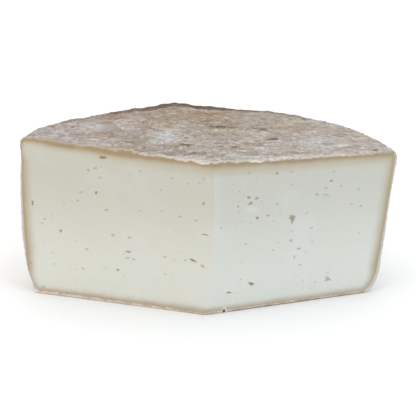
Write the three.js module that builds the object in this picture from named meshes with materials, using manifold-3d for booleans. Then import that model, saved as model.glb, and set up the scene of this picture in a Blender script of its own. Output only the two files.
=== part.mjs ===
// A wedge cut from a wheel of firm, natural-rind cheese: two fifths of the wheel, standing on its flat base.
// Millimetres, +Z up. The two knife cuts meet in a crease that faces -Y, and the rind curves round the back.
// The wheel's axis is the Z axis while it is shaped. The finished piece is moved so that its origin is the
// middle of its footprint, on the base.
import * as THREE from 'three';
import { mergeVertices } from 'three/addons/utils/BufferGeometryUtils.js';
import Module from 'manifold-3d';

// The wheel
const wheelRadius = 124.5;
const wheelHeight = 100.5;
const shoulderRound = 6;
const sideTaper = 4.9;
const bellyHeight = 70;
const heelHeight = 15;
const heelInset = 8.5;
const heelKnee = 6.5;
const footRound = 2;

// The two knife cuts: the angle between them, where they meet, and how far each wanders out of true at half
// height beside the crease
const cutAngle = 144.2;
const creaseX = 3.5;
const creaseY = -7.1;
const leftBow = 0;
const rightBow = 2;

// Settling on the shelf: how far the top slides over the base, and how steeply the top slopes
const slump = 5.9;
const topSlope = 0.035;

// Swells and dips of the rim: bearing from straight back in degrees, half width in degrees, rise
const rimSwells = [
  { bearing: -66, spread: 8, rise: 1.2 },
  { bearing: -39, spread: 8, rise: -1.3 },
  { bearing: -11, spread: 7, rise: 2.2 },
  { bearing: 8, spread: 9, rise: -1.3 },
  { bearing: 48, spread: 8, rise: 0.8 },
];
const swellReach = 28;

// The large eyes, the holes in the paste, placed by hand. Each has its place as shares of the wheel's radius, out
// from the crease, and of its height, then its width and tallness, and its turn in degrees, positive where the
// right end is the higher
const eyeDepth = 2.6;
const leftEyes = [
  { out: 0.58, up: 0.95, width: 5.5, tall: 2, turn: 0 },
  { out: 0.96, up: 0.6, width: 1.5, tall: 3.5, turn: 0 },
  { out: 0.61, up: 0.72, width: 2, tall: 2, turn: 0 },
  { out: 0.8, up: 0.44, width: 2, tall: 2.5, turn: -30 },
  { out: 0.43, up: 0.36, width: 4.5, tall: 1.5, turn: 0 },
  { out: 0.48, up: 0.23, width: 2, tall: 1.5, turn: 0 },
  { out: 0.1, up: 0.36, width: 5, tall: 1.5, turn: -15 },
  { out: 0.05, up: 0.54, width: 4.5, tall: 1.5, turn: 0 },
  { out: 0.06, up: 0.74, width: 2.5, tall: 2, turn: 0 },
];
const rightEyes = [
  { out: 0.43, up: 0.6, width: 4.5, tall: 6, turn: 0 },
  { out: 0.23, up: 0.63, width: 2.5, tall: 2, turn: 0 },
  { out: 0.18, up: 0.77, width: 2.5, tall: 2, turn: 0 },
  { out: 0.19, up: 0.73, width: 4, tall: 1.5, turn: 15 },
  { out: 0.33, up: 0.91, width: 2, tall: 1.5, turn: 0 },
  { out: 0.63, up: 0.83, width: 3, tall: 1.5, turn: 0 },
  { out: 0.43, up: 0.45, width: 2.5, tall: 2, turn: 0 },
  { out: 0.23, up: 0.18, width: 4, tall: 2, turn: -15 },
  { out: 0.11, up: 0.14, width: 4, tall: 1.5, turn: 0 },
  { out: 0.66, up: 0.14, width: 5, tall: 4, turn: 0 },
];

// A nick in the rind where the right cut meets the base
const nick = { out: 0.1, up: 0, width: 3.4, tall: 5, turn: 0 };

// Facets
const roundSegments = 120;
const eyeSegments = 10;
const eyeRings = 6;
const bowRows = 16;
const bowColumns = 8;

const wasm = await Module();
wasm.setup();

function toSolid(geometry) {
  geometry.deleteAttribute('normal');
  geometry.deleteAttribute('uv');
  const merged = mergeVertices(geometry);
  const corners = merged.index.array;
  const triangles = [];
  for (let i = 0; i < corners.length; i += 3) {
    const [a, b, c] = [corners[i], corners[i + 1], corners[i + 2]];
    // the facets on the axis close to a line when their corners merge
    if (a !== b && b !== c && c !== a) triangles.push(a, b, c);
  }
  return new wasm.Manifold(new wasm.Mesh({
    numProp: 3,
    vertProperties: new Float32Array(merged.attributes.position.array),
    triVerts: new Uint32Array(triangles),
  }));
}

function toGeometry(solid) {
  const mesh = solid.getMesh();
  const geometry = new THREE.BufferGeometry();
  geometry.setAttribute('position', new THREE.Float32BufferAttribute(mesh.vertProperties, 3));
  geometry.setIndex(new THREE.Uint32BufferAttribute(mesh.triVerts, 1));
  return geometry;
}

// The outline of the wheel's section, from the middle of the base round to the middle of the top
function wheelSection() {
  const sideFoot = wheelRadius - sideTaper;
  const footRadius = sideFoot - heelInset;
  const cornerRun = footRound * Math.SQRT1_2;
  const topRadius = wheelRadius - shoulderRound;
  const section = new THREE.Path();
  section.moveTo(0, 0);
  section.lineTo(footRadius - footRound, 0);
  section.quadraticCurveTo(footRadius, 0, footRadius + cornerRun, cornerRun);
  section.quadraticCurveTo(footRadius + heelKnee, heelKnee, sideFoot, heelHeight);
  section.quadraticCurveTo(wheelRadius, bellyHeight, wheelRadius, wheelHeight - shoulderRound);
  section.absarc(topRadius, wheelHeight - shoulderRound, shoulderRound, 0, Math.PI / 2, false);
  section.lineTo(topRadius - swellReach / 4, wheelHeight);
  section.lineTo(topRadius - swellReach / 2, wheelHeight);
  section.lineTo(topRadius - swellReach, wheelHeight);
  section.lineTo(0, wheelHeight);
  return section.getPoints(6);
}

// How far the rim rises at a bearing, in radians from straight back
function rimRise(bearing) {
  const degrees = THREE.MathUtils.radToDeg(bearing);
  let rise = 0;
  for (const swell of rimSwells) {
    const away = (degrees - swell.bearing) / swell.spread;
    rise += swell.rise * Math.exp(-away * away);
  }
  return rise;
}

function wheel() {
  const geometry = new THREE.LatheGeometry(wheelSection(), roundSegments);
  geometry.rotateX(Math.PI / 2);
  const position = geometry.attributes.position;
  for (let i = 0; i < position.count; i += 1) {
    const x = position.getX(i);
    const y = position.getY(i);
    const z = position.getZ(i);
    const rim = wheelRadius - shoulderRound;
    const outward = THREE.MathUtils.smoothstep(Math.hypot(x, y), rim - swellReach, rim);
    const upward = THREE.MathUtils.smoothstep(z, wheelHeight - swellReach, wheelHeight - shoulderRound / 2);
    position.setZ(i, z + rimRise(Math.atan2(x, y)) * outward * upward);
  }
  return toSolid(geometry);
}

// The frame of one cut face: X points out of the cheese, Y is up and the origin is the foot of the crease
function faceFrame(side) {
  const half = THREE.MathUtils.degToRad(cutAngle / 2);
  const outOfFace = new THREE.Vector3(side * Math.cos(half), -Math.sin(half), 0);
  const up = new THREE.Vector3(0, 0, 1);
  const along = new THREE.Vector3().crossVectors(outOfFace, up);
  const frame = new THREE.Matrix4().makeBasis(outOfFace, up, along);
  return frame.setPosition(creaseX, creaseY, 0);
}

// How far a cut stands out of its plane at a height and a distance from the crease
function bowAt(bow, height, out) {
  const share = THREE.MathUtils.clamp(height / wheelHeight, 0, 1);
  const fade = THREE.MathUtils.clamp(1 - out / wheelRadius, 0, 1);
  return 4 * bow * share * (1 - share) * fade;
}

// Everything on the far side of one cut: a block whose near side follows the cut's bow
function offcut(side, bow) {
  const reach = 2 * wheelRadius;
  const tall = 2 * wheelHeight;
  const geometry = new THREE.BoxGeometry(reach, tall, 2 * reach, 1, bowRows, bowColumns);
  geometry.translate(reach / 2, wheelHeight / 2, 0);
  const position = geometry.attributes.position;
  for (let i = 0; i < position.count; i += 1) {
    const isNear = position.getX(i) < reach / 2;
    const out = Math.abs(position.getZ(i));
    if (isNear) position.setX(i, bowAt(bow, position.getY(i), out));
  }
  geometry.applyMatrix4(faceFrame(side));
  return toSolid(geometry);
}

// An eye is a flattened hollow, half of it in the paste
function eyeHollow(side, bow, eye) {
  const out = eye.out * wheelRadius;
  const up = eye.up * wheelHeight;
  const geometry = new THREE.SphereGeometry(1, eyeSegments, eyeRings);
  geometry.scale(eyeDepth, eye.tall / 2, eye.width / 2);
  geometry.rotateX(THREE.MathUtils.degToRad(eye.turn));
  // the frame's Z runs out from the crease on the left face and towards it on the right
  geometry.translate(bowAt(bow, up, out), up, -side * out);
  geometry.applyMatrix4(faceFrame(side));
  return toSolid(geometry);
}

// A settled cheese leans a little over its base, and its top slopes down the same way
function settle(geometry) {
  const position = geometry.attributes.position;
  for (let i = 0; i < position.count; i += 1) {
    const x = position.getX(i);
    const z = position.getZ(i);
    position.setX(i, x + slump * z / wheelHeight);
    position.setZ(i, z * (1 - topSlope * x / wheelHeight));
  }
  return geometry;
}

function cheese() {
  let body = wheel();
  body = body.subtract(offcut(-1, leftBow));
  body = body.subtract(offcut(1, rightBow));
  for (const eye of leftEyes) body = body.subtract(eyeHollow(-1, leftBow, eye));
  for (const eye of [...rightEyes, nick]) body = body.subtract(eyeHollow(1, rightBow, eye));
  const geometry = settle(toGeometry(body));
  const paste = new THREE.MeshStandardMaterial({ color: '#d8d6c8', roughness: 0.6, metalness: 0 });
  const mesh = new THREE.Mesh(geometry, paste);
  mesh.name = 'cut_cheese_wheel';
  return mesh;
}

const piece = cheese();
const extent = new THREE.Box3().setFromObject(piece);
const middle = extent.getCenter(new THREE.Vector3());
piece.position.set(-middle.x, -middle.y, -extent.min.z);

const part = new THREE.Group();
part.name = 'cut_cheese_wheel_part';
part.add(piece);

export default part;
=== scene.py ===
import math
import random

import bmesh
import bpy
import numpy as np
from mathutils import Euler, Matrix, Vector, noise
from mathutils.geometry import delaunay_2d_cdt


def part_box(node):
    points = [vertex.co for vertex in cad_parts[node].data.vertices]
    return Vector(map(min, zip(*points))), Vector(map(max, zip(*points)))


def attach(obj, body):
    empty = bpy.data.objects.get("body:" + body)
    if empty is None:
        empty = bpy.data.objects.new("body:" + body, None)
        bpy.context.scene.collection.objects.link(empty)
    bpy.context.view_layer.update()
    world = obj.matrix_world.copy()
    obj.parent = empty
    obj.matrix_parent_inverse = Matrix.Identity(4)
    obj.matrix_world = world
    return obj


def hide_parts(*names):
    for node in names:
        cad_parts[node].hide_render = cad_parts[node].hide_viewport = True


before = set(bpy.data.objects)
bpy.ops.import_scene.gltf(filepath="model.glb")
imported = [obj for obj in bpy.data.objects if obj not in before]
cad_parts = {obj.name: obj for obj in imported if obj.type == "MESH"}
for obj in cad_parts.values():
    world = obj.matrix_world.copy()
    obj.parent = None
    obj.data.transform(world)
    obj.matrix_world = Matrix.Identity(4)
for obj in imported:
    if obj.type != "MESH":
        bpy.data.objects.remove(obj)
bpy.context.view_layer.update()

# A wedge cut from a wheel of firm, natural-rind cheese. Lengths are in millimetres until the mesh is made.
# A side of -1 is the left cut and 1 the right one, and bearings are in degrees from straight back.
mm = 0.001

wheel = {
    "radius": 124.5, "height": 100.5, "shoulder": 6.0, "taper": 4.9, "belly": 70.0,
    "heel": 15.0, "heelInset": 8.5, "knee": 6.5, "foot": 2.0,
    "slump": 5.9, "topSlope": 0.035,
}
cuts = {"angle": 144.2, "creaseX": 3.5, "creaseY": -7.1, "rightBow": 2.0, "bowReach": 60.0}
creasePoint = np.array([cuts["creaseX"], cuts["creaseY"], 0.0])
halfAngle = math.radians(cuts["angle"] / 2)

# how close together the points of the surface are
spacing = {
    "edge": 0.6, "cutMiddle": 2.0, "eye": 0.32, "topEdge": 0.65, "top": 0.95, "baseEdge": 1.0, "base": 3.0,
    "side": 1.15, "sideRow": 1.0, "section": 0.35,
}
farOff = 99.0  # a distance that stands for nowhere near


def smooth(value, low, high):
    # 0 below low, 1 above high and eased between them
    share = np.clip((value - low) / (high - low), 0, 1)
    return share * share * (3 - 2 * share)


def curve(a, b, c, count):
    t = np.linspace(0, 1, count)[:, None]
    a, b, c = (np.array(p, float) for p in (a, b, c))
    return (1 - t) ** 2 * a + 2 * t * (1 - t) * b + t * t * c


def evenly(line, step):
    # the same line with its points about a step apart
    run = np.r_[0, np.cumsum(np.linalg.norm(np.diff(line, axis=0), axis=1))]
    count = max(2, int(round(run[-1] / step)) + 1)
    at = np.linspace(0, run[-1], count)
    return np.stack([np.interp(at, run, line[:, k]) for k in range(line.shape[1])], 1)


def bearingOf(points):
    return np.degrees(np.arctan2(points[:, 0], points[:, 1]))


def radiusOf(points):
    return np.hypot(points[:, 0], points[:, 1])


def outFromCrease(points):
    return radiusOf(points - creasePoint)


def sideLine():
    # the outline of the wheel's section from the base up over the shoulder: radius and height
    sideFoot = wheel["radius"] - wheel["taper"]
    foot = sideFoot - wheel["heelInset"]
    corner = wheel["foot"] * math.sqrt(0.5)
    high = wheel["height"] - wheel["shoulder"]
    topRadius = wheel["radius"] - wheel["shoulder"]
    turn = np.linspace(0, math.pi / 2, 30)
    shoulder = np.stack([np.cos(turn), np.sin(turn)], 1) * wheel["shoulder"] + (topRadius, high)
    parts = [
        curve((foot - wheel["foot"], 0), (foot, 0), (foot + corner, corner), 10),
        curve((foot + corner, corner), (foot + wheel["knee"], wheel["knee"]), (sideFoot, wheel["heel"]), 20),
        curve((sideFoot, wheel["heel"]), (wheel["radius"], wheel["belly"]), (wheel["radius"], high), 60),
        shoulder,
    ]
    return np.concatenate([part[:-1] for part in parts] + [shoulder[-1:]])


def faceAxes(side):
    # along a cut, away from the crease, and straight out of it
    along = np.array([side * math.sin(halfAngle), math.cos(halfAngle), 0.0])
    outward = np.array([side * math.cos(halfAngle), -math.sin(halfAngle), 0.0])
    return along, outward


def cutReach(side, radius):
    # how far out from the crease a cut meets the circle of a radius round the wheel's axis
    along, _ = faceAxes(side)
    lean = creasePoint @ along
    return -lean + np.sqrt(radius ** 2 - creasePoint @ creasePoint + lean ** 2)


def insideCuts(points):
    # how far inside the nearer of the two cuts each point is
    return np.min([-((points - creasePoint) @ faceAxes(side)[1]) for side in (-1, 1)], axis=0)


def spotsAt(plan, spots, scale=(1, 1)):
    # soft round spots, each with its place, its half widths and its strength
    share = np.zeros(len(plan))
    for x, y, halfX, halfY, strength in spots:
        away = (plan - (x * scale[0], y * scale[1])) / (halfX, halfY)
        share = np.maximum(share, strength * np.exp(-(away ** 2).sum(1)))
    return share


class Surface:
    # the points, shared by the regions that meet along an edge
    def __init__(self):
        self.points = []
        self.count = 0

    def add(self, points):
        points = np.atleast_2d(points)
        self.points.append(points)
        self.count += len(points)
        return np.arange(self.count - len(points), self.count)

    def all(self):
        return np.concatenate(self.points)


def insideOutline(points, outline):
    x, y = points[:, 0][:, None], points[:, 1][:, None]
    ax, ay = outline[:, 0], outline[:, 1]
    bx, by = np.roll(ax, -1), np.roll(ay, -1)
    crosses = (ay > y) != (by > y)
    with np.errstate(divide="ignore", invalid="ignore"):
        at = ax + (y - ay) * (bx - ax) / (by - ay)
    return (crosses & (x < at)).sum(1) % 2 == 1


def nearest(points, targets, chunk=4000):
    # the distance to the nearest target, and which it is
    gap = np.empty(len(points))
    which = np.empty(len(points), int)
    for start in range(0, len(points), chunk):
        part = points[start:start + chunk]
        apart = ((part[:, None] - targets[None]) ** 2).sum(-1)
        which[start:start + chunk] = apart.argmin(1)
        gap[start:start + chunk] = np.sqrt(apart.min(1))
    return gap, which


def gradedPoints(low, high, coarse, wanted):
    # the middles of square cells, split in four wherever they are bigger than wanted
    xs = np.arange(low[0] + coarse / 2, high[0], coarse)
    ys = np.arange(low[1] + coarse / 2, high[1], coarse)
    cells = np.stack(np.meshgrid(xs, ys), -1).reshape(-1, 2)
    size, kept = coarse, []
    while len(cells):
        tooBig = wanted(cells) < size * 0.8
        kept.append(cells[~tooBig])
        quarter = size / 4
        corners = [(-quarter, -quarter), (quarter, -quarter), (-quarter, quarter), (quarter, quarter)]
        cells = (cells[tooBig][:, None] + np.array(corners)[None]).reshape(-1, 2)
        size /= 2
    return np.concatenate(kept)


def fillRegion(outline, wanted, coarse, extra=None, blocked=None):
    # triangles over an outline, finer where wanted
    inner = gradedPoints(outline.min(0), outline.max(0), coarse, wanted)
    inner = inner[insideOutline(inner, outline)]
    inner = inner[nearest(inner, outline)[0] > 0.55 * np.minimum(wanted(inner), coarse)]
    if blocked is not None:
        inner = inner[~blocked(inner)]
    if extra is not None:
        inner = np.concatenate([inner, extra])
    points = np.concatenate([outline, inner])
    ring = [(k, (k + 1) % len(outline)) for k in range(len(outline))]
    made = delaunay_2d_cdt([Vector(p) for p in points], ring, [], 1, 1e-5)
    origin = np.array([source[0] for source in made[3]])
    triangles = origin[np.array([face for face in made[2] if len(face) == 3])]
    return inner, triangles


# The large eyes: out from the crease and up as shares of the wheel's radius and height, width, tallness,
# degrees turned with the right end up, how brown inside, and for some how three-cornered
# the brown inside an eye is partly the paste's own tint and partly painted shade
largeEyes = {
    -1: [
        (0.58, 0.95, 5.5, 2.0, 0, 1.0), (0.96, 0.6, 1.5, 3.5, 0, 1.0), (0.61, 0.72, 2.0, 2.0, 0, 1.0),
        (0.8, 0.44, 2.0, 2.5, -30, 0.8), (0.43, 0.36, 4.5, 1.5, 0, 0.7), (0.48, 0.23, 2.0, 1.5, 0, 1.0),
        (0.1, 0.36, 5.0, 1.5, -15, 1.0), (0.05, 0.33, 3.0, 1.3, -30, 0.7), (0.05, 0.54, 4.5, 1.0, 0, 0.7),
        (0.06, 0.74, 2.5, 2.0, 0, 0.5),
    ],
    1: [
        (0.43, 0.6, 4.6, 5.2, 0, 0.7, 0.2), (0.23, 0.63, 2.5, 2.0, 0, 0.9), (0.18, 0.77, 2.5, 2.0, 0, 0.8),
        (0.19, 0.73, 4.0, 1.5, 15, 0.8), (0.33, 0.91, 2.0, 1.5, 0, 1.0), (0.63, 0.83, 3.0, 1.5, 0, 0.7),
        (0.43, 0.45, 2.5, 2.0, 0, 0.4), (0.23, 0.18, 4.5, 2.2, -20, 1.0, 0.16),
        (0.11, 0.14, 4.0, 1.5, 0, 1.0), (0.66, 0.14, 4.5, 3.5, -50, 0.35, 0.24),
    ],
}
# small eyes lie in loose groups: out, up, how far the group spreads, how many
eyeGroups = {
    -1: [(0.22, 0.42, 9, 7), (0.68, 0.25, 9, 6), (0.6, 0.8, 12, 3), (0.85, 0.6, 9, 4), (0.46, 0.3, 9, 3),
         (0.08, 0.86, 5, 4), (0.33, 0.15, 12, 4)],
    1: [(0.18, 0.75, 4, 4), (0.6, 0.82, 8, 6), (0.31, 0.61, 5, 5), (0.28, 0.41, 5, 3), (0.13, 0.14, 4, 3),
        (0.42, 0.26, 6, 5), (0.47, 0.44, 5, 3), (0.24, 0.94, 7, 4), (0.66, 0.14, 4, 2)],
}
# some lie loose all over, and a share are drawn out to slits
smallEyes = {
    "seed": 11, "loose": 40, "least": 0.8, "most": 2.7, "mostlySmall": 1.8, "flat": (0.5, 0.85),
    "slits": 0.16, "slitWider": 1.9, "slitFlatter": 0.5, "slitLeast": 0.6, "tilt": 12,
    "brown": {-1: (0.1, 0.4), 1: (0.15, 0.6)}, "apart": 3.2, "fromEdge": 4,
}
eyeShape = {
    "turn": 6, "lobes": (0.05, 0.22), "depth": 0.33, "mostDeep": 1.3, "shallowest": 0.1, "wall": (0.62, 1.07),
    "rings": (1.14, 1.0, 0.84, 0.55),
}


class Eye:
    # the uneven outline of one eye on a cut
    def __init__(self, place, width, tall, turn, brown, rng, corners=0.0):
        self.centre = np.array(place, float)
        self.half = np.array([width, tall]) / 2
        angle = math.radians(turn + rng.uniform(-eyeShape["turn"], eyeShape["turn"]))
        self.spin = np.array([[math.cos(angle), math.sin(angle)], [-math.sin(angle), math.cos(angle)]])
        self.lobes = [(k, rng.uniform(*eyeShape["lobes"]) / math.sqrt(k - 1), rng.uniform(0, 6.28))
                      for k in (2, 3, 4, 5)]
        self.lobes.append((3, corners, 0.0))
        deep = eyeShape["depth"] * (math.sqrt(width * tall) - 0.5)
        self.depth = min(eyeShape["mostDeep"], max(eyeShape["shallowest"], deep))
        self.brown = brown

    def edge(self, angle):
        return 1 + sum(size * np.sin(k * angle + phase) for k, size, phase in self.lobes)

    def reach(self, points):
        # 0 at the middle of the eye, 1 at its edge
        local = (points - self.centre) @ self.spin.T / self.half
        angle = np.arctan2(local[:, 1], local[:, 0])
        return np.hypot(local[:, 0], local[:, 1]) / self.edge(angle)

    def ring(self, share, step):
        count = max(6, int(math.pi * self.half.sum() * share / step))
        angle = np.linspace(0, 2 * math.pi, count, endpoint=False) + share
        local = np.stack([np.cos(angle), np.sin(angle)], 1) * (self.edge(angle) * share)[:, None]
        return self.centre + local * self.half @ self.spin


def makeEyes(side, outline):
    rng = random.Random(smallEyes["seed"] + side)
    scale = np.array([wheel["radius"], wheel["height"]])
    # out runs to the left on one cut and to the right on the other, so a turn is the same seen from outside
    eyes = [Eye(scale * (out, up), width, tall, side * turn, brown, rng, *corners)
            for out, up, width, tall, turn, brown, *corners in largeEyes[side]]
    high = outline.max(0)

    def tryPlace(place):
        apart = np.hypot(*(np.array([eye.centre for eye in eyes]) - place).T).min()
        if apart < smallEyes["apart"] or not insideOutline(place[None], outline)[0]:
            return False
        if nearest(place[None], outline)[0][0] < smallEyes["fromEdge"]:
            return False
        share = rng.random() ** smallEyes["mostlySmall"]
        width = smallEyes["least"] + (smallEyes["most"] - smallEyes["least"]) * share
        tall = width * rng.uniform(*smallEyes["flat"])
        if rng.random() < smallEyes["slits"]:
            width *= smallEyes["slitWider"]
            tall = max(smallEyes["slitLeast"], tall * smallEyes["slitFlatter"])
        tilt = rng.gauss(0, smallEyes["tilt"])
        eyes.append(Eye(place, width, tall, tilt, rng.uniform(*smallEyes["brown"][side]), rng))
        return True

    for out, up, spread, count in eyeGroups[side]:
        centre = scale * (out, up)
        for _ in range(count):
            tries = (np.array([rng.gauss(0, spread), rng.gauss(0, spread * 0.7)]) for _ in range(40))
            any(tryPlace(centre + away) for away in tries)
    loose = 0
    for _ in range(20 * smallEyes["loose"]):
        if loose < smallEyes["loose"]:
            loose += tryPlace(np.array([rng.uniform(3, high[0]), rng.uniform(3, high[1])]))
    return eyes


def eyeRings(eyes, outline):
    # rings of points down into each eye, clear of the eyes before it and of the face's edge
    kept = []
    for index, eye in enumerate(eyes):
        step = min(spacing["eye"], eye.half.min() * 0.55)
        rings = [eye.ring(share, step * max(share, 0.5)) for share in eyeShape["rings"]]
        points = np.concatenate(rings + [eye.centre[None]])
        for other in eyes[:index]:
            if np.hypot(*(other.centre - eye.centre)) < other.half.max() + eye.half.max() + 1:
                points = points[other.reach(points) > 1.2]
        if len(points):
            points = points[insideOutline(points, outline)]
        if len(points):
            points = points[nearest(points, outline)[0] > 0.25]
        kept.append(points)
    return np.concatenate(kept)


def eyeDepth(points, eyes):
    # how deep each point of a cut lies in an eye, and how brown it is there, the brown being partly the
    # paste's own tint and partly painted shade inside the eye
    depth = np.zeros(len(points))
    share = np.zeros(len(points))
    for eye in eyes:
        near = np.abs(points - eye.centre).max(1) < eye.half.max() * 1.6 + 0.5
        if near.any():
            down = 1 - smooth(eye.reach(points[near]), *eyeShape["wall"])
            here = eye.depth * down
            deeper = here > depth[near]
            where = np.flatnonzero(near)[deeper]
            depth[where] = here[deeper]
            share[where] = down[deeper] * eye.brown
    return depth, share


def gradedSteps(length, edge, middle, ramp):
    # shares of a length, an edge step apart at both ends and a middle step apart between
    at, steps = 0.0, [0.0]
    while at < length:
        away = min(at, length - at)
        at += edge + (middle - edge) * min(1.0, away / ramp)
        steps.append(at)
    steps = np.array(steps)
    return steps / steps[-1]


def sideGrid(surface, line, shares):
    # the curved back: a row of points for each height, from the left cut round to the right one
    grid = np.empty((len(line), len(shares)), int)
    for row, (radius, height) in enumerate(line):
        ends = []
        for side in (-1, 1):
            end = creasePoint + faceAxes(side)[0] * cutReach(side, radius)
            ends.append(math.atan2(end[0], end[1]))
        bearing = ends[0] + (ends[1] - ends[0]) * shares
        heights = np.full(len(bearing), height)
        grid[row] = surface.add(np.stack([radius * np.sin(bearing), radius * np.cos(bearing), heights], 1))
    return grid


def addArm(surface, start, end, step):
    count = int(np.linalg.norm(end - start) / step)
    shares = np.linspace(0, 1, count + 1)[1:-1, None]
    return surface.add(start + shares * (end - start))


def makeRegion(loop, added, triangles, outline, inner):
    index = np.concatenate([loop, added])
    return {"faces": index[triangles], "vertices": index, "plan": np.concatenate([outline, inner])}


def cutRegion(surface, loop, side):
    # one cut face with its eyes, inside the loop of points round it
    along, _ = faceAxes(side)
    rim = surface.all()[loop]
    outline = np.stack([(rim - creasePoint) @ along, rim[:, 2]], 1)
    eyes = makeEyes(side, outline)
    middles = np.array([eye.centre for eye in eyes])
    sizes = np.array([eye.half.max() for eye in eyes])

    def wanted(p):
        gap = nearest(p, outline)[0]
        fromEye = (np.sqrt(((p[:, None] - middles[None]) ** 2).sum(-1)) - sizes).min(1)
        byEdge = spacing["edge"] + np.maximum(gap - 1.0, 0) * 0.25
        byEye = 0.45 + np.maximum(fromEye - 0.3, 0) * 0.5
        return np.minimum(np.minimum(byEdge, byEye), spacing["cutMiddle"])

    def blocked(p):
        # the eyes bring their own points
        held = np.zeros(len(p), bool)
        for eye in eyes:
            near = np.abs(p - eye.centre).max(1) < eye.half.max() * 1.7 + 0.6
            held[near] |= eye.reach(p[near]) < eyeShape["rings"][0] + 0.15 / eye.half.min()
        return held

    inner, triangles = fillRegion(outline, wanted, spacing["cutMiddle"], eyeRings(eyes, outline), blocked)
    flat = creasePoint + inner[:, :1] * along + inner[:, 1:] * np.array([0, 0, 1.0])
    return makeRegion(loop, surface.add(flat), triangles, outline, inner), eyes


def levelRegion(surface, loop, edge, middle):
    # the top or the base, with finer triangles towards its edge
    rim = surface.all()[loop]
    outline = rim[:, :2]

    def wanted(p):
        return np.minimum(edge + nearest(p, outline)[0] * 0.2, middle)

    inner, triangles = fillRegion(outline, wanted, middle)
    added = surface.add(np.c_[inner, np.full(len(inner), rim[0, 2])])
    return makeRegion(loop, added, triangles, outline, inner)


def sideRegion(grid, line, shares, length):
    j, i = np.meshgrid(np.arange(len(line) - 1), np.arange(len(shares) - 1), indexing="ij")
    quads = np.stack([grid[j, i], grid[j, i + 1], grid[j + 1, i + 1], grid[j + 1, i]], -1).reshape(-1, 4)
    run = np.r_[0, np.cumsum(np.linalg.norm(np.diff(line, axis=0), axis=1))]
    plan = np.stack(np.meshgrid(shares * length, run), -1).reshape(-1, 2)
    return {"faces": quads, "vertices": grid.ravel(), "plan": plan}


def buildSurface():
    # the plain wedge: five regions that share the points along their edges
    surface = Surface()
    line = evenly(sideLine(), spacing["sideRow"])
    length = 2.5 * wheel["radius"]  # about the way round the back
    shares = gradedSteps(length, spacing["edge"], spacing["side"], 5.0)
    grid = sideGrid(surface, line, shares)
    high = np.array([0, 0, wheel["height"]])
    creaseSteps = np.linspace(0, 1, int(wheel["height"] / spacing["edge"]) + 1)[:, None]
    crease = surface.add(creasePoint + creaseSteps * high)
    arms = {}
    for side, column in ((-1, 0), (1, -1)):
        top, base = surface.all()[grid[[-1, 0], column]]
        arms["top", side] = addArm(surface, creasePoint + high, top, spacing["edge"])
        arms["base", side] = addArm(surface, creasePoint, base, spacing["baseEdge"])

    regions, eyes = {}, {}
    for side, column, name in ((-1, 0, "left"), (1, -1, "right")):
        loop = np.concatenate([
            crease[:1], arms["base", side], grid[:, column], arms["top", side][::-1], crease[:0:-1],
        ])
        regions[name], eyes[side] = cutRegion(surface, loop, side)
    for name, corner, row in (("top", crease[-1:], -1), ("base", crease[:1], 0)):
        loop = np.concatenate([corner, arms[name, 1], grid[row, ::-1], arms[name, -1][::-1]])
        regions[name] = levelRegion(surface, loop, spacing[name + "Edge"], spacing[name])
    regions["side"] = sideRegion(grid, line, shares, length)
    print("surface points:", surface.count)
    return surface.all(), regions, eyes


rindRelief = {
    "undulation": 0.75, "undulationSize": 26.0, "wrinkle": 0.62, "wrinkleSize": 5.5,
    "topGrain": (0.55, 1.0, 1.0), "sideGrain": (0.6, 0.6, 1.25), "sideFrom": (86, 98),
    "swirl": 3.5, "swirlSize": 14.0, "pit": 0.35, "pitSize": 5.0, "pitShare": 0.22,
    "burr": 0.35, "burrSize": 4.5, "reach": 5.0, "sideShare": 0.45,
}
# swells and dips of the rim: bearing, half width in degrees, rise
rimSwells = [(-66, 8, 1.2), (-39, 8, -1.3), (-11, 7, 2.2), (8, 9, -1.3), (48, 8, 0.8), (-79, 6, 1.6)]
swellReach = 28.0
# where the rind's side is worn in or swells out: bearing, height, half widths of both, how far in
sideWear = [
    (-76, 8, 16, 16, 2.7), (-76, 60, 14, 45, 0.9), (-76, 89, 12, 13, 1.5), (78, 68, 14, 34, 1.7),
    (78, 6, 10, 9, -1.2),
]


def swirlAt(point):
    # how the grain drifts aside: one slow noise for each direction
    return Vector([noise.noise(point + Vector((17.0, 5.0, 0.0)) * turn) for turn in (1, 2, 3)])


def wrinkleAt(point, grain):
    along = Vector([p * s for p, s in zip(point, grain)]) / rindRelief["wrinkleSize"]
    fold = 1 - abs(noise.noise(along)) * 2
    return 0.5 * fold + 0.8 * noise.fractal(along / 0.4, 0.7, 2.0, 4)


def reliefAt(point):
    # how far the rind stands out at a point of the plain wheel, and where it is on its wrinkles
    shape = rindRelief
    p = Vector(point)
    undulation = noise.fractal(p / shape["undulationSize"], 0.9, 2.1, 3)
    warped = p + swirlAt(p / shape["swirlSize"]) * shape["swirl"]
    # the grain runs across the top, and round the side
    onTop = float(smooth(point[2], *shape["sideFrom"]))
    wrinkle = onTop * wrinkleAt(warped, shape["topGrain"]) if onTop > 0 else 0.0
    if onTop < 1:
        wrinkle += (1 - onTop) * wrinkleAt(warped, shape["sideGrain"])
    spots = noise.voronoi(p / shape["pitSize"])[0][0]
    pit = max(0.0, shape["pitShare"] - spots) / shape["pitShare"]
    return shape["undulation"] * undulation + shape["wrinkle"] * wrinkle - shape["pit"] * pit, wrinkle


def rimRise(points):
    rise = np.zeros(len(points))
    for at, spread, height in rimSwells:
        rise += height * np.exp(-((bearingOf(points) - at) / spread) ** 2)
    rim = wheel["radius"] - wheel["shoulder"]
    outward = smooth(radiusOf(points), rim - swellReach, rim)
    upward = smooth(points[:, 2], wheel["height"] - swellReach, wheel["height"] - wheel["shoulder"] / 2)
    return rise * outward * upward


def sideWearAt(points):
    wear = np.zeros(len(points))
    for at, height, halfWidth, halfHeight, depth in sideWear:
        away = ((bearingOf(points) - at) / halfWidth) ** 2 + ((points[:, 2] - height) / halfHeight) ** 2
        wear += depth * np.exp(-away)
    # none at the very top, and none at the foot, which stays where it rests
    return wear * smooth(wheel["height"] - points[:, 2], 0, 4) * smooth(points[:, 2], 0, 6)


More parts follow.
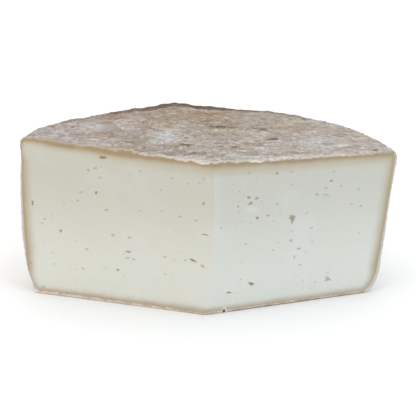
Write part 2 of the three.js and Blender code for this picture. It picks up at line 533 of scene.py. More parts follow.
def rindGapAndNormal(points):
    # how far inside the rind each point is, and the way out through it
    line = evenly(np.concatenate([[[0, 0]], sideLine(), [[0, wheel["height"]]]]), spacing["section"])
    steps = np.gradient(line, axis=0)
    normals = np.stack([steps[:, 1], -steps[:, 0]], 1)
    normals /= np.linalg.norm(normals, axis=1)[:, None]
    radius = radiusOf(points)
    gap, which = nearest(np.stack([radius, points[:, 2]], 1), line, 2000)
    radial = points[:, :2] / np.maximum(radius[:, None], 1e-6)
    return gap, np.c_[radial * normals[which][:, :1], normals[which][:, 1]]


def wrinkleRind(points, onRind, onCut, gap, normal):
    # moves the rind, and the paste just under it, in and out
    near = gap < rindRelief["reach"]
    foot = points - normal * gap[:, None]
    relief, wrinkle = np.zeros((2, len(points)))
    relief[near], wrinkle[near] = np.array([reliefAt(p) for p in foot[near]]).T
    ragged = onRind & onCut
    burr = np.zeros(len(points))
    burr[ragged] = [noise.fractal(Vector(p) / rindRelief["burrSize"], 0.6, 2.2, 3) for p in points[ragged]]
    keep = (1 - np.minimum(gap / rindRelief["reach"], 1)) ** 2
    calm = smooth(foot[:, 2], 0.0, 3.0)  # the base stays flat, and the heel just above it nearly so
    level = rindRelief["sideShare"] + (1 - rindRelief["sideShare"]) * smooth(foot[:, 2], 84, 97)
    push = (relief * keep + np.clip(burr, -0.3, 1) * rindRelief["burr"]) * calm * level
    push -= sideWearAt(foot) * keep
    return points + normal * push[:, None], wrinkle


# The crumbled lip where the knife goes in through the top: how far it hangs, and more by the crease, the size
# of its scallops and crumbs, how proud of the cut it stands, and how much higher or lower it runs on each cut
lip = {
    "hang": 0.35, "byCrease": 1.9, "creaseReach": 46.0, "wave": 9.0, "crumb": 3.2, "reach": 3.2,
    "proud": 0.4, "proudReach": 1.3, "leftRise": 1.9, "farShare": 0.4, "rightDrop": 0.7,
    "creaseRise": 1.4, "creaseHalf": 16.0,
}


def lipHang(points):
    out = outFromCrease(points)
    wave = [noise.noise(Vector((x / lip["wave"], y / lip["wave"], 2))) for x, y, _ in points]
    crumbs = [Vector((x / lip["crumb"], y / lip["crumb"], 5)) for x, y, _ in points]
    crumb = [noise.fractal(place, 0.7, 2.1, 3) for place in crumbs]
    hang = lip["hang"] + lip["byCrease"] * np.exp(-(out / lip["creaseReach"]) ** 2)
    hang *= np.clip(0.35 + 1.1 * np.array(wave) + 0.55 * np.array(crumb), -0.25, 1.3)
    rise = lip["leftRise"] * smooth(out, 8, 50) * (1 - (1 - lip["farShare"]) * smooth(out, 70, 105))
    drop = lip["rightDrop"] * smooth(out, 50, 90)
    hang += np.where(points[:, 0] < cuts["creaseX"], -rise, drop)
    hang -= lip["creaseRise"] * np.exp(-(out / lip["creaseHalf"]) ** 2)
    return hang * smooth(wheel["radius"] - radiusOf(points), 1, 10)


def hangLip(points, moved, onCut, cutGap):
    # the lip sags over each cut and stands a little proud of it
    below = wheel["height"] - points[:, 2]
    near = (below < lip["reach"]) & (cutGap < lip["reach"])
    away = np.where(onCut, np.maximum(below, 0), np.abs(cutGap))[near]
    hang = lipHang(points[near])
    moved[near, 2] -= hang * np.clip(1 - away / lip["reach"], 0, 1) ** 2
    proud = np.maximum(hang, 0) * lip["proud"] * np.clip(1 - away / lip["proudReach"], 0, 1) ** 2
    outward = np.zeros((near.sum(), 3))
    for side in (-1, 1):
        normal = faceAxes(side)[1]
        depth = -((points[near] - creasePoint) @ normal)
        outward += normal * (1 - smooth(depth, 0, 3))[:, None]
    outward /= np.maximum(np.linalg.norm(outward, axis=1), 1)[:, None]
    moved[near] += outward * proud[:, None]


# how far the knife wanders and drags, over what width and height, and how far each cut's foot is worn back
knife = {"wander": 0.35, "wanderSize": (60, 22), "drag": 0.07, "dragSize": (9, 3.5), "footWear": 0.45}
# where the base rind of the right cut is chipped: out from the crease, half width, height, depth, raised lips
nick = {"out": 0.1, "half": 1.7, "height": 3.2, "depth": 1.6, "lip": 0.5}
# chalky smears on the cuts: out, up, half width, half height, strength
chalkSpots = {
    -1: [(0.08, 0.29, 10, 5, 0.7), (0.85, 0.35, 12, 22, 0.5), (0.72, 0.16, 14, 9, 0.5),
         (0.2, 0.44, 14, 6, 0.4)],
    1: [(0.2, 0.69, 5, 3, 0.8), (0.67, 0.1, 7, 2, 0.9), (0.62, 0.79, 5, 2, 0.5), (0.42, 0.36, 4, 4, 0.6),
        (0.5, 0.56, 16, 8, 0.4), (0.14, 0.22, 6, 4, 0.6)],
}


def knifeMarks(plan, side):
    wide, tall = knife["wanderSize"]
    wander = [noise.noise(Vector((x / wide + 9 * side, y / tall, 3))) for x, y in plan]
    wide, tall = knife["dragSize"]
    drag = [noise.noise(Vector((x / wide + 5 * side, y / tall, 7))) for x, y in plan]
    return knife["wander"] * np.array(wander) + knife["drag"] * np.array(drag)


def biteAt(plan):
    # half at the edge of the bite, 1 in its middle, and 0 beyond the raised lips round it
    across = np.abs(plan[:, 0] - nick["out"] * wheel["radius"]) / nick["half"]
    return np.clip(1 - (across + plan[:, 1] / nick["height"]) / 2, 0, 1)


def workCuts(moved, regions, eyes, onRind, gap):
    # sinks the eyes and the chip, and lays the knife's marks over both cuts
    brown, chip, chalk = np.zeros((3, len(moved)))
    scale = (wheel["radius"], wheel["height"])
    for side, name in ((-1, "left"), (1, "right")):
        index, plan = regions[name]["vertices"], regions[name]["plan"]
        depth, share = eyeDepth(plan, eyes[side])
        calm = smooth(gap[index], 0, 4) * smooth(plan[:, 0], 0, 8)
        push = knifeMarks(plan, side) * calm - depth * ~onRind[index]
        push -= knife["footWear"] * (1 - smooth(plan[:, 1], 0.2, 1.3))
        if side == 1:
            bite = biteAt(plan)
            sink = nick["depth"] + nick["lip"]
            push += nick["lip"] * smooth(bite, 0.1, 0.4) - sink * smooth(bite, 0.48, 0.72)
            chip[index] = bite
        moved[index] += faceAxes(side)[1] * push[:, None]
        brown[index] = np.maximum(brown[index], share)
        chalk[index] = np.maximum(chalk[index], spotsAt(plan, chalkSpots[side], scale))
    return {"eyeShare": brown, "nickShare": chip, "chalkShare": chalk}


def bowCuts(points, moved, regions):
    # the right cut bows out beside the crease, so the crease slides along the left cut
    height = np.clip(points[:, 2] / wheel["height"], 0, 1)
    bulge = 4 * cuts["rightBow"] * height * (1 - height)
    (leftAlong, _), (rightAlong, rightOut) = faceAxes(-1), faceAxes(1)
    slide = bulge / -(leftAlong @ rightOut)
    left, right = np.zeros((2, len(points)), bool)
    left[regions["left"]["vertices"]] = True
    right[regions["right"]["vertices"]] = True
    right &= ~left
    outLeft = (points - creasePoint) @ leftAlong
    outRight = (points - creasePoint) @ rightAlong
    slideLeft = slide * np.clip(1 - outLeft / cuts["bowReach"], 0, 1)
    bulgeRight = bulge * np.clip(1 - outRight / wheel["radius"], 0, 1)
    slideRight = slide * -(leftAlong @ rightAlong) * np.clip(1 - outRight / cuts["bowReach"], 0, 1)
    moved[left] -= leftAlong * slideLeft[left][:, None]
    moved[right] += rightOut * bulgeRight[right][:, None]
    moved[right] += rightAlong * slideRight[right][:, None]


def settle(moved):
    # the cheese leans over its base and its top slopes the same way
    x = moved[:, 0].copy()
    moved[:, 0] = x + wheel["slump"] * moved[:, 2] / wheel["height"]
    moved[:, 2] *= 1 - wheel["topSlope"] * x / wheel["height"]


# Spots on the top: aside from the crease, back from it, half width, half depth, strength
rindSpots = {
    "mouldShare": [
        (-31, 54, 9, 13, 1.0), (-80, 70, 9, 8, 0.9), (-56, 74, 8, 9, 0.5), (72, 50, 17, 11, 0.8),
        (28, 34, 6, 4, 1.0), (-8, 34, 12, 9, 0.6), (20, 14, 22, 6, 0.7), (112, 42, 6, 6, 1.0),
        (-12, 12, 12, 5, 0.6),
    ],
    "rustShare": [(-70, 80, 5, 3, 1.0), (-2, 108, 7, 4, 1.0), (-88, 90, 5, 4, 0.4)],
    "warmShare": [
        (-12, 104, 38, 20, 1.0), (-66, 58, 11, 9, 0.9), (-50, 68, 8, 14, 0.6), (46, 55, 9, 4, 1.0),
        (22, 42, 14, 6, 0.6), (-40, 100, 22, 14, 0.7), (60, 82, 16, 8, 0.5), (12, 76, 10, 5, 0.6),
    ],
    "cleftShare": [
        (-32, 96, 4, 2.5, 1.0), (5, 78, 8, 4, 1.0), (30, 76, 6, 2, 0.9), (38, 54, 5, 3.5, 0.9),
        (13, 32, 4, 3, 0.8), (-10, 20, 5, 2, 0.9), (-17, 38, 6, 2.5, 1.0), (-21, 25, 4, 2, 0.8),
        (73, 47, 4, 2.5, 0.9), (102, 37, 4, 2.5, 0.8),
    ],
}
# the dark rim at the top's edge, partly the rind's own darker brown and partly painted shade where the
# shoulder turns away from the light: where it starts and ends inside the wheel's radius, where it is widest
# and by how much, where it is darkest, and how faint it is elsewhere
darkRim = {
    "start": 13.0, "end": 8.0, "wideAt": -12, "wideHalf": 18, "wider": 9.0, "darkAt": -8, "darkHalf": 32,
    "faint": 0.3, "heights": (90, 97),
}


def spotShare(points, spots):
    onTop = smooth(points[:, 2], wheel["height"] - 12, wheel["height"] - 2)
    return spotsAt((points - creasePoint)[:, :2], spots) * onTop


def rimShareAt(points):
    bearing = bearingOf(points)
    wider = darkRim["wider"] * np.exp(-((bearing - darkRim["wideAt"]) / darkRim["wideHalf"]) ** 2)
    dark = np.exp(-((bearing - darkRim["darkAt"]) / darkRim["darkHalf"]) ** 2)
    inset = wheel["radius"] - radiusOf(points)
    share = 1 - smooth(inset, darkRim["end"], darkRim["start"] + wider)
    share *= darkRim["faint"] + (1 - darkRim["faint"]) * dark
    return share * smooth(points[:, 2], *darkRim["heights"])


def creaseGapAt(points):
    # how far along the right cut from the crease, and far off everywhere else
    along, outward = faceAxes(1)
    fromCrease = points - creasePoint
    isNear = (insideCuts(points) < 1) & (fromCrease @ outward >= -0.5)
    return np.where(isNear, np.maximum(fromCrease @ along, 0), farOff)


def shapeSurface(points, regions, eyes):
    # the finished shape, and what the materials need to know about each point of it
    onCut, onRind = np.zeros((2, len(points)), bool)
    for name, region in regions.items():
        (onCut if name in ("left", "right") else onRind)[region["vertices"]] = True
    gap, normal = rindGapAndNormal(points)
    gap[onRind] = 0
    cutGap = insideCuts(points)
    moved, wrinkle = wrinkleRind(points, onRind, onCut, gap, normal)
    moved[:, 2] += rimRise(points)
    hangLip(points, moved, onCut, cutGap)
    cutMarks = workCuts(moved, regions, eyes, onRind, gap)
    bowCuts(points, moved, regions)
    settle(moved)
    return moved, {
        "rindGap": gap, "cutGap": cutGap, "creaseGap": creaseGapAt(points), "wrinkle": wrinkle,
        "byCrease": np.exp(-(outFromCrease(points) / 62) ** 2), "rimShare": rimShareAt(points), **cutMarks,
        **{name: spotShare(points, spots) for name, spots in rindSpots.items()},
    }


def seatInFrame(points):
    # the middle of the cheese's footprint goes where the frame has it
    low, high = (np.array(corner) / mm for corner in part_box("cut_cheese_wheel"))
    plainLow, plainHigh = points.min(0), points.max(0)
    shift = (low + high) / 2 - (plainLow + plainHigh) / 2
    shift[2] = low[2] - plainLow[2]
    return shift


# the regions lie side by side on one square sheet
sheetCorners = {"left": (2, 122), "right": (138, 122), "top": (2, 235), "base": (270, 122), "side": (2, 2)}
sheetSize = 400.0


def layUv(mesh, regions):
    places = np.zeros((len(sheetCorners), len(mesh.vertices), 2))
    for number, (name, corner) in enumerate(sheetCorners.items()):
        plan = regions[name]["plan"]
        if name == "base":
            plan = plan[:, ::-1]  # the base is seen from below
        places[number, regions[name]["vertices"]] = plan - plan.min(0) + corner
    loopVertex = np.empty(len(mesh.loops), int)
    mesh.loops.foreach_get("vertex_index", loopVertex)
    region = np.empty(len(mesh.polygons), int)
    mesh.attributes["region"].data.foreach_get("value", region)
    total = np.empty(len(mesh.polygons), int)
    mesh.polygons.foreach_get("loop_total", total)
    loopRegion = np.repeat(region, total)
    layer = mesh.uv_layers.new(name="OFBake")
    layer.uv.foreach_set("vector", (places[loopRegion, loopVertex] / sheetSize).astype(np.float32).ravel())


def makeMesh(points, regions, attributes):
    polygons, region = [], []
    for number, name in enumerate(sheetCorners):
        polygons += regions[name]["faces"].tolist()
        region += [number] * len(regions[name]["faces"])
    mesh = bpy.data.meshes.new("cut_cheese")
    mesh.from_pydata((points * mm).tolist(), [], polygons)
    mesh.update()
    for name, values in attributes.items():
        mesh.attributes.new(name, "FLOAT", "POINT").data.foreach_set("value", values.astype(np.float32))
    mesh.attributes.new("region", "INT", "FACE").data.foreach_set("value", region)
    work = bmesh.new()
    work.from_mesh(mesh)
    bmesh.ops.recalc_face_normals(work, faces=work.faces)
    layer = work.faces.layers.int["region"]
    for face in work.faces:
        face.smooth = True
        face.material_index = 0 if face[layer] < 2 else 1
    for edge in work.edges:
        # sharp along the edges of both cuts
        edge.smooth = len({min(face[layer], 2) for face in edge.link_faces}) == 1
    openEdges = sum(1 for edge in work.edges if len(edge.link_faces) != 2)
    triangles = sum(len(face.verts) - 2 for face in work.faces)
    print("cheese mesh:", triangles, "triangles,", openEdges, "open edges")
    work.to_mesh(mesh)
    work.free()
    mesh.update()
    layUv(mesh, regions)
    return mesh


class Value:
    # a socket that can be used in sums
    def __init__(self, graph, socket):
        self.graph = graph
        self.socket = socket

    def __add__(self, other):
        return self.graph.maths("ADD", self, other)

    def __sub__(self, other):
        return self.graph.maths("SUBTRACT", self, other)

    def __rsub__(self, other):
        return self.graph.maths("SUBTRACT", other, self)

    def __mul__(self, other):
        return self.graph.maths("MULTIPLY", self, other)

    def __pow__(self, other):
        return self.graph.maths("POWER", self, other)

    def __abs__(self):
        return self.graph.maths("ABSOLUTE", self, 0.0)

    __radd__ = __add__
    __rmul__ = __mul__


class Graph:
    # one material and its nodes
    def __init__(self, name):
        self.material = bpy.data.materials.new(name)
        self.material.use_nodes = True
        self.tree = self.material.node_tree
        self.tree.nodes.clear()

    def node(self, kind, settings=None, inputs=None, output=0):
        made = self.tree.nodes.new(kind)
        for key, value in (settings or {}).items():
            setattr(made, key, value)
        for key, value in (inputs or {}).items():
            if isinstance(value, Value):
                self.tree.links.new(value.socket, made.inputs[key])
            else:
                made.inputs[key].default_value = value
        return Value(self, made.outputs[output]) if len(made.outputs) else made

    def maths(self, operation, a, b):
        return self.node("ShaderNodeMath", {"operation": operation}, {0: a, 1: b})

    def attribute(self, name):
        return self.node("ShaderNodeAttribute", {"attribute_name": name}, output="Fac")

    def place(self):
        return self.node("ShaderNodeTexCoord", output="Object")

    def part(self, vector, axis):
        return self.node("ShaderNodeSeparateXYZ", None, {0: vector}, axis)

    def stretch(self, vector, factors):
        return self.node("ShaderNodeVectorMath", {"operation": "MULTIPLY"}, {0: vector, 1: factors})

    def noise(self, vector, scale, detail=4.0, rough=0.55, distortion=0.0):
        return self.node("ShaderNodeTexNoise", {"noise_dimensions": "3D"}, {
            "Vector": vector, "Scale": scale, "Detail": detail, "Roughness": rough, "Distortion": distortion,
        })

    def ease(self, value, low, high):
        return self.node("ShaderNodeMapRange", {"interpolation_type": "SMOOTHSTEP"}, {
            "Value": value, "From Min": low, "From Max": high,
        })

    def mix(self, factor, a, b):
        a, b = (colour if isinstance(colour, Value) else (*colour, 1) for colour in (a, b))
        settings = {"data_type": "RGBA", "blend_type": "MIX", "clamp_factor": True}
        return self.node("ShaderNodeMix", settings, {0: factor, 6: a, 7: b}, 2)

    def bump(self, height, strength, distance):
        inputs = {"Height": height, "Strength": strength, "Distance": distance}
        return self.node("ShaderNodeBump", None, inputs)

    def finish(self, inputs):
        shader = self.node("ShaderNodeBsdfPrincipled", None, inputs)
        self.node("ShaderNodeOutputMaterial", None, {"Surface": shader})
        return self.material


def srgb(red, green, blue):
    # the linear colour of three 8-bit values
    linear = lambda c: c / 12.92 if c <= 0.04045 else ((c + 0.055) / 1.055) ** 2.4
    return tuple(linear(c / 255) for c in (red, green, blue))


# the cut paste; each grain is a noise scale, and the band is measured in from the rind
paste = {
    # high and low: darker at the top and paler low down, partly the paste's own tone and partly painted light
    "high": srgb(199, 197, 187), "low": srgb(219, 219, 212), "cream": srgb(205, 199, 180),
    # chalk is also the colour of the painted highlight beside the crease
    # the eye colour is partly the paste's own brown tint and partly painted shade inside the eyes
    "chalk": srgb(217, 219, 218), "hollow": srgb(169, 150, 108),
    "band": srgb(182, 168, 141), "bandDeep": srgb(164, 141, 109), "bandBase": srgb(180, 161, 138),
    "crumb": srgb(206, 197, 188), "section": srgb(200, 194, 190), "flake": srgb(240, 226, 216),
    # heel is partly the rind's brown and partly painted contact shadow
    # nick is painted shade inside the chip
    "heel": srgb(140, 114, 94), "nick": srgb(92, 66, 54),
    "bandStart": 2.6, "bandEnd": 12.0, "deepStart": 2.6, "deepEnd": 5.6, "lipShift": 1.5,
    "mottleGrain": 260.0, "streakGrain": 160.0, "cloudGrain": 30.0, "flakeGrain": 120.0, "fineGrain": 900.0,
}


def pasteBody(g, height, mottle, streak, cloud):
    # darker and yellower towards the top and paler low down, partly the paste's own tone and partly painted
    # light for the light thrown up from below, with cream mottling and chalky smears
    body = g.mix(g.ease(height, 0.012, 0.088), paste["low"], paste["high"])
    body = g.mix(g.ease(mottle * 0.5 + streak * 0.5, 0.3, 0.7) * 0.22, body, paste["cream"])
    smear = g.ease(g.attribute("chalkShare") + (mottle - 0.5) * 2.0 + (streak - 0.5), 0.1, 1.1)
    return g.mix(g.ease(cloud, 0.5, 0.7) * 0.2 + smear * 0.42, body, paste["chalk"])


def pasteBand(g, body, place, height, rindGap, upper):
    # the paste darkens and dries towards the rind, most of all under the lip, where the extra darkness is
    # painted shadow of the lip
    drift = (g.noise(place, 150.0, 3.0) - 0.5) * 1.2 + (g.noise(place, 40.0, 2.0) - 0.5) * 2.4
    byBase = 1 - g.ease(height, 0.004, 0.02)
    farLeft = g.ease(g.part(place, 0) * -1.0, 0.045, 0.09) * upper
    gap = (rindGap + drift) * (1 + byBase * 0.5 + farLeft * 0.5) + upper * paste["lipShift"]
    band = (1 - g.ease(gap, paste["bandStart"], paste["bandEnd"])) ** 1.5
    deep = 1 - g.ease(gap, paste["deepStart"], paste["deepEnd"])
    # deeper under the lip: partly the band's own tone and partly painted shadow of the lip
    tone = g.mix(deep * (0.45 + upper * 0.55), paste["band"], paste["bandDeep"])
    return g.mix(band * (1 - byBase * 0.1), body, g.mix(byBase, tone, paste["bandBase"]))


def pasteEdge(g, colour, place, height, rindGap, upper, rightward):
    # the cut rind itself: a pale line down the sides, crumbs under the lip and flakes along the base
    lower = 1 - g.ease(height, 0.001, 0.004)
    crumble = g.noise(place, paste["mottleGrain"], 4.0, 0.7) - 0.5
    ragged = rindGap + crumble * (0.9 + upper * 1.6 + lower * 4.0)
    width = 1.8 - upper * 1.3 - lower * (0.55 - rightward * 0.45)
    crumb = 1 - g.ease(ragged - width, -0.3, 0.3)
    gaps = 1 - g.ease(g.noise(place, paste["flakeGrain"], 3.0), 0.42, 0.54) * 0.8
    broken = lower * gaps * (0.45 + rightward * 0.55)
    tone = g.mix(lower, g.mix(upper, paste["section"], paste["crumb"]), paste["flake"])
    farLip = upper * (1 - g.attribute("byCrease")) * 0.7
    return g.mix(crumb * (0.92 - farLip - broken * 0.8), colour, tone)


def pasteMaterial():
    g = Graph("cheese_paste")
    place = g.place()
    height = g.part(place, 2)
    rindGap = g.attribute("rindGap")
    mottle = g.noise(place, paste["mottleGrain"], 5.0, 0.6)
    cloud = g.noise(place, paste["cloudGrain"], 3.0)
    streak = g.noise(g.stretch(place, (1.0, 1.0, 5.0)), paste["streakGrain"], 4.0, 0.6)
    upper = g.ease(height, 0.09, 0.098)
    rightward = g.ease(g.part(place, 0), -0.02, 0.03)

    colour = pasteBody(g, height, mottle, streak, cloud)
    colour = pasteBand(g, colour, place, height, rindGap, upper)
    colour = pasteEdge(g, colour, place, height, rindGap, upper, rightward)
    # a painted highlight beside the crease, where its rounded edge catches the light; a dark line at the
    # foot, partly the rind's brown and partly painted contact shadow; the hollows, partly tinted and partly
    # painted shade; and the chip, with painted shade inside it
    creaseHighlight = 1 - g.ease(g.attribute("creaseGap") + (cloud - 0.5) * 6.0, 0.5, 7.0)
    colour = g.mix(creaseHighlight * 0.18 * g.ease(rindGap, 3.0, 9.0), colour, paste["chalk"])
    # dark at the foot: partly the brown of the rind and partly painted contact shadow where the cut meets the
    # floor
    footRindAndShadow = 1 - g.ease(height + (mottle - 0.5) * 0.001, 0.0005, 0.0012)
    colour = g.mix(footRindAndShadow * (0.35 + rightward * 0.45), colour, paste["heel"])
    # the eyes: partly the paste's own brown tint and partly painted shade inside them
    colour = g.mix(g.attribute("eyeShare"), colour, paste["hollow"])
    nickShare = g.attribute("nickShare")
    lips = g.ease(nickShare + (mottle - 0.5) * 0.3, 0.05, 0.4) * 0.8
    # the chip: pale flakes on its raised lips, and painted shade inside it
    colour = g.mix(g.ease(nickShare, 0.5, 0.68), g.mix(lips, colour, paste["flake"]), paste["nick"])

    relief = mottle * 0.5 + streak * 0.2 + g.noise(place, paste["fineGrain"], 4.0, 0.6) * 0.3
    return g.finish({
        "Base Color": colour, "Roughness": g.ease(mottle, 0.2, 0.9) * 0.2 + 0.4,
        "Normal": g.bump(relief, 0.3, 0.0006), "Subsurface Weight": 0.3,
        "Subsurface Radius": (1.0, 0.72, 0.45), "Subsurface Scale": 0.002, "Specular IOR Level": 0.35,
    })


# the rind; each grain is a noise scale
rind = {
    # ridge also serves as painted highlight on the tops of the wrinkles, and fold as painted shade in their
    # folds
    "brown": srgb(154, 138, 122), "beige": srgb(193, 181, 168), "ridge": srgb(220, 213, 207),
    "rosy": srgb(182, 164, 160), "straw": srgb(182, 164, 134), "ochre": srgb(158, 132, 98),
    "fold": srgb(140, 122, 106), "mould": srgb(204, 206, 208), "sideMould": srgb(208, 204, 198),
    # cleft is painted shade, in the cracks and in the fine lines
    "crumb": srgb(226, 219, 214), "cleft": srgb(78, 62, 50), "rust": srgb(160, 110, 70),
    # rim is partly the rind's own darker brown and partly painted shade
    "rim": srgb(104, 86, 70),
    "acrossTop": (0.45, 1.0, 1.0), "roundSide": (0.5, 0.5, 1.1),
    "slowGrain": 22.0, "tintGrain": 48.0, "driftGrain": 60.0, "blotchGrain": 110.0, "threadGrain": 210.0,
    "fineGrain": 460.0,
}


def rindGround(g, place, blotch):
    # brown to beige, tinted rosy on the left, paler on the right and ochre in the warm spots
    slow = g.noise(place, rind["slowGrain"], 4.0, 0.6)
    tint = g.noise(place, rind["tintGrain"], 5.0, 0.65)
    aside = g.part(place, 0)
    base = g.mix(g.ease(slow * 0.4 + blotch * 0.6, 0.38, 0.62), rind["brown"], rind["beige"])
    base = g.mix(g.ease(tint, 0.53, 0.66) * 0.55, base, rind["rosy"])
    base = g.mix((1 - g.ease(tint, 0.34, 0.47)) * 0.4, base, rind["straw"])
    base = g.mix(g.ease(aside * -1.0 + (slow - 0.5) * 0.08, 0.02, 0.1) * 0.55, base, rind["rosy"])
    base = g.mix(g.ease(aside, -0.02, 0.09) * 0.22, base, rind["ridge"])
    return g.mix(g.attribute("warmShare") * g.ease(blotch, 0.32, 0.58) * 0.85, base, rind["ochre"])


def rindMould(g, base, drift, thread, onSide):
    # white mould in thin drifts, with the patches on the top and most of it down the side
    frontward = 1 - g.ease(g.attribute("cutGap"), 8.0, 70.0)
    amount = g.attribute("mouldShare") * 0.24 + onSide * 0.1 + frontward * 0.05 + drift + (thread - 0.5) * 0.5
    tone = g.mix(onSide, rind["mould"], rind["sideMould"])
    return g.mix(g.ease(amount, 0.5, 0.82) * 0.78, base, tone)


def rindWrinkles(g, base, fine, thread, line, onSide, byCrease):
    # painted highlight on the tops of the wrinkles and painted shade in the folds between them, in fine dark
    # lines and in specks
    wrinkle = g.attribute("wrinkle")
    ridge = g.ease(wrinkle + (fine - 0.5) * 3.2, 0.2, 1.1)
    base = g.mix(ridge * (0.4 + byCrease * 0.46 - onSide * 0.05), base, rind["ridge"])
    fold = 1 - g.ease(wrinkle + (fine - 0.5) * 3.6, -0.75, 0.0)
    base = g.mix(fold * (0.6 - onSide * 0.2), base, rind["fold"])
    # fine dark lines: painted shade in the rind's creases
    base = g.mix(line * g.ease(fine, 0.44, 0.6) * (0.25 + byCrease * 0.4), base, rind["cleft"])
    # specks: painted highlight on the light ones and painted shade on the dark ones
    speck = (thread - 0.5) * 0.6
    base = g.mix(g.ease(fine + speck, 0.58, 0.72) * (0.3 + byCrease * 0.4), base, rind["ridge"])
    return g.mix((1 - g.ease(fine - speck, 0.3, 0.43)) * (0.3 + byCrease * 0.4), base, rind["fold"])


def rindMaterial():
    g = Graph("natural_rind")
    place = g.place()
    onSide = 1 - g.ease(g.part(place, 2), 0.084, 0.098)
    byCrease = g.attribute("byCrease")
    acrossTop = g.stretch(place, rind["acrossTop"])
    roundSide = g.stretch(place, rind["roundSide"])

    def grain(scale, detail, rough, distortion):
        top = g.noise(acrossTop, scale, detail, rough, distortion)
        side = g.noise(roundSide, scale, detail, rough, distortion * 0.3)
        return top + (side - top) * onSide

    blotch = grain(rind["blotchGrain"], 6.0, 0.72, 0.6)
    thread = grain(rind["threadGrain"], 4.0, 0.65, 1.2)
    fine = grain(rind["fineGrain"], 4.0, 0.6, 0.3)
    drift = grain(rind["driftGrain"], 6.0, 0.72, 0.9)
    line = 1 - g.ease(abs(thread - 0.5), 0.01, 0.045)

    base = rindGround(g, place, blotch)
    base = rindMould(g, base, drift, thread, onSide)
    base = rindWrinkles(g, base, fine, thread, line, onSide, byCrease)
    # the rust spots, the clefts with painted shade in them, the dark rim, partly painted shade, and the
    # crumbs beside the cuts
    base = g.mix(g.attribute("rustShare") * g.ease(fine, 0.3, 0.55) * 0.75, base, rind["rust"])
    cleftShare = g.attribute("cleftShare")
    base = g.mix(g.ease(cleftShare, 0.1, 0.6) * 0.45, base, rind["ochre"])
    # the clefts: an ochre tint round them, and painted shade in the cracks
    cleft = g.ease(cleftShare + (thread - 0.5) * 3.4 + (fine - 0.5) * 3.4, 0.78, 1.15)
    base = g.mix(cleft * 0.8, base, rind["cleft"])
    # the dark rim: partly the rind's own darker brown and partly painted shade where the shoulder turns away
    # from the light
    rim = g.ease(g.attribute("rimShare") + (blotch - 0.5) * 1.5 + (fine - 0.5) * 0.8, 0.2, 0.95)
    base = g.mix(rim * 0.9, base, rind["rim"])
    ragged = g.attribute("cutGap") + (blotch - 0.5) * 12.0 + (fine - 0.5) * 8.0
    cutEdge = 1 - g.ease(ragged, 0.5, 7.0)
    base = g.mix(cutEdge * (0.2 + byCrease * 0.7), base, rind["crumb"])

    relief = blotch * 0.35 + thread * 0.4 + fine * 0.4 - line * 0.15 - cleft * 0.5
    return g.finish({
        "Base Color": base, "Roughness": g.ease(fine, 0.3, 0.7) * 0.15 + 0.78,
        "Normal": g.bump(relief, 0.9, 0.0022), "Subsurface Weight": 0.05,
        "Subsurface Radius": (1.0, 0.7, 0.5), "Subsurface Scale": 0.002, "Specular IOR Level": 0.25,
    })


def makeCheese():
    points, regions, eyes = buildSurface()
    shaped, attributes = shapeSurface(points, regions, eyes)
    shift = seatInFrame(shaped)
    mesh = makeMesh(shaped + shift, regions, attributes)
    mesh.materials.append(pasteMaterial())
    mesh.materials.append(rindMaterial())
    cheese = bpy.data.objects.new("cut_cheese", mesh)
    bpy.context.scene.collection.objects.link(cheese)
    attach(cheese, "root")
    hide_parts("cut_cheese_wheel")
    return shift


# the camera, and what it aims at, aside from the crease and up
view = {"lens": 115.0, "distance": 813.0, "elevation": 20.3, "roll": -0.25, "aside": -3.7, "up": 72.2}


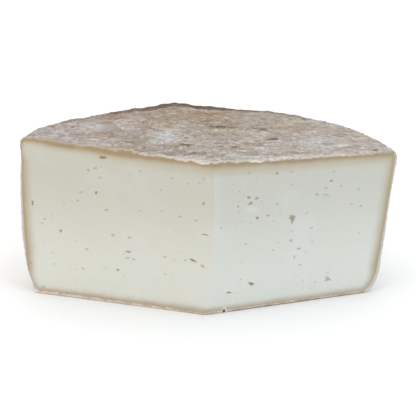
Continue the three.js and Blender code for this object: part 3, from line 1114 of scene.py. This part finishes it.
def placeCamera(shift):
    camera = bpy.data.objects.new("camera", bpy.data.cameras.new("camera"))
    bpy.context.scene.collection.objects.link(camera)
    camera.data.lens = view["lens"]
    camera.data.sensor_width = 36.0
    camera.data.clip_start = 0.01
    creaseTop = creasePoint + shift + np.array([wheel["slump"], 0, 0])
    target = Vector((creaseTop[0] + view["aside"], creaseTop[1], view["up"])) * mm
    turn = Euler((math.radians(90 - view["elevation"]), 0, 0)).to_matrix().to_4x4()
    roll = Matrix.Rotation(math.radians(view["roll"]), 4, "Z")
    back = turn @ Vector((0, 0, view["distance"] * mm))
    camera.matrix_world = Matrix.Translation(target + back) @ turn @ roll
    bpy.context.scene.camera = camera


# in metres; each light has its place, what it faces, its size, power and colour
studio = {
    "world": 0.62, "floorHalf": 6.0, "floor": srgb(250, 250, 250), "floorShade": srgb(246, 246, 245),
    "lights": {
        "top_light": ((0, 0.6, 2.6), (0, 0.6, 0), (4.0, 4.0), 57.0, (1, 1, 1)),
        "left_light": ((-1.1, -0.9, 0.3), (0, 0, 0), (0.8, 0.5), 3.1, (1.0, 0.9, 0.62)),
        "right_light": ((1.1, -0.9, 0.5), (0, 0, 0.05), (0.8, 0.8), 4.2, (0.62, 0.92, 1.2)),
    },
}


def softbox(name, place, target, size, power, colour):
    lamp = bpy.data.lights.new(name, "AREA")
    lamp.shape = "RECTANGLE"
    lamp.size, lamp.size_y = size
    lamp.energy = power
    lamp.color = colour
    made = bpy.data.objects.new(name, lamp)
    bpy.context.scene.collection.objects.link(made)
    made.location = place
    made.rotation_euler = (Vector(target) - Vector(place)).to_track_quat("-Z", "Y").to_euler()


def floorMaterial():
    g = Graph("pale_floor")
    tone = g.mix(g.noise(g.place(), 3.0, 3.0) * 0.3, studio["floor"], studio["floorShade"])
    return g.finish({"Base Color": tone, "Roughness": 0.9, "Specular IOR Level": 0.1})


def makeStudio():
    half = studio["floorHalf"]
    mesh = bpy.data.meshes.new("floor")
    corners = [(-half, -half, 0), (half, -half, 0), (half, half, 0), (-half, half, 0)]
    mesh.from_pydata(corners, [], [(0, 1, 2, 3)])
    mesh.materials.append(floorMaterial())
    floor = bpy.data.objects.new("floor", mesh)
    bpy.context.scene.collection.objects.link(floor)
    world = bpy.data.worlds.new("studio")
    bpy.context.scene.world = world
    world.use_nodes = True
    background = world.node_tree.nodes["Background"]
    background.inputs["Color"].default_value = (1, 1, 1, 1)
    background.inputs["Strength"].default_value = studio["world"]
    for name, light in studio["lights"].items():
        softbox(name, *light)
    bpy.context.scene.view_settings.view_transform = "Standard"


shift = makeCheese()
print("cheese made")
placeCamera(shift)
makeStudio()
print("studio made")
